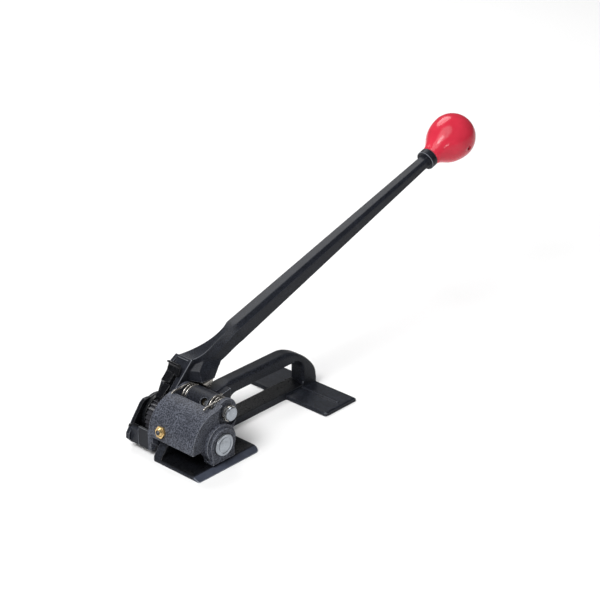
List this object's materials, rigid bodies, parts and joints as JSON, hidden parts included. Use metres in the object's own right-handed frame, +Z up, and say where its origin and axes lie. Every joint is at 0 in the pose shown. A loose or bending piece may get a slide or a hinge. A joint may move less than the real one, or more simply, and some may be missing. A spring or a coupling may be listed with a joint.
{
  "type": "strapping tensioner",
  "caption": "Hand tensioner for flat steel strap: a long ratchet lever turns a toothed feedwheel over a base plate, with a grip loop and rear foot behind it",
  "frame": {"origin": "on the underside of the base plate, directly below the main shaft's axis and at the middle of the feedwheel's width", "axes": "+X runs along the strap towards the grip and the rear foot, +Y towards the ratchet and the lever's fork, +Z up"},
  "size_m": [0.5268, 0.122, 0.2598],
  "materials": {
    "black_casting": "black finish over cast iron",
    "black_forging": "black finish over forged steel",
    "tool_steel": "hardened and oiled",
    "bright_steel": "zinc plated",
    "spring_steel": "drawn wire",
    "bronze": "plain bearing bronze",
    "brass": "turned",
    "red_gloss": "moulded, glossy"
  },
  "bodies": {
    "frame": {"frame_casting": "black_casting", "gripper_plug": "tool_steel", "plug_screws": "tool_steel", "hinge_bush": "bronze"},
    "carrier": {"housing": "black_casting", "hinge_pin": "bright_steel", "hinge_pin_clips": "spring_steel", "torsion_spring_near": "spring_steel", "torsion_spring_far": "spring_steel", "shaft_bush_near": "bronze", "shaft_bush_far": "bronze", "ear_set_screw": "tool_steel", "side_plate": "black_forging", "side_plate_bush": "bronze", "side_plate_screws": "tool_steel", "grease_nipple": "brass", "nipple_ball": "tool_steel", "holding_pawl_pin": "bright_steel"},
    "shaft": {"main_shaft": "bright_steel", "feedwheel": "tool_steel", "feedwheel_key": "tool_steel", "ratchet_wheel": "tool_steel", "ratchet_key": "tool_steel", "shaft_washer": "tool_steel", "shaft_ring": "spring_steel"},
    "lever": {"lever": "black_forging", "lever_bushes": "bronze", "lift_shoe": "tool_steel", "lift_shoe_screw": "tool_steel", "drive_pawl_pin": "bright_steel", "knob": "red_gloss", "knob_set_screw": "tool_steel"},
    "drive_pawl": {"drive_pawl": "black_forging", "drive_pawl_spring": "spring_steel"},
    "holding_pawl": {"holding_pawl": "tool_steel", "holding_pawl_spring": "spring_steel"}
  },
  "joints": [
    {"name": "carrier_lift", "type": "hinge", "parent": "frame", "child": "carrier", "pos_m": [0.0164, 0, 0.0544], "axis": [0, 1, 0], "range_deg": [0, 5], "stiffness_Nm_per_rad": 3, "springref_deg": -114.59},
    {"name": "shaft_spin", "type": "hinge", "parent": "carrier", "child": "shaft", "pos_m": [0, 0, 0.026], "axis": [0, 1, 0], "continuous": true},
    {"name": "lever_swing", "type": "hinge", "parent": "carrier", "child": "lever", "pos_m": [0, 0, 0.026], "axis": [0, -1, 0], "range_deg": [-2, 60]},
    {"name": "drive_pawl_tilt", "type": "hinge", "parent": "lever", "child": "drive_pawl", "pos_m": [0.016, 0.056, 0.066], "axis": [0, 1, 0], "range_deg": [0, 8], "stiffness_Nm_per_rad": 0.05, "springref_deg": -57.3},
    {"name": "holding_pawl_tilt", "type": "hinge", "parent": "carrier", "child": "holding_pawl", "pos_m": [-0.0302, 0.056, 0.0124], "axis": [0, -1, 0], "range_deg": [0, 10], "stiffness_Nm_per_rad": 0.02, "springref_deg": -57.3}
  ]
}
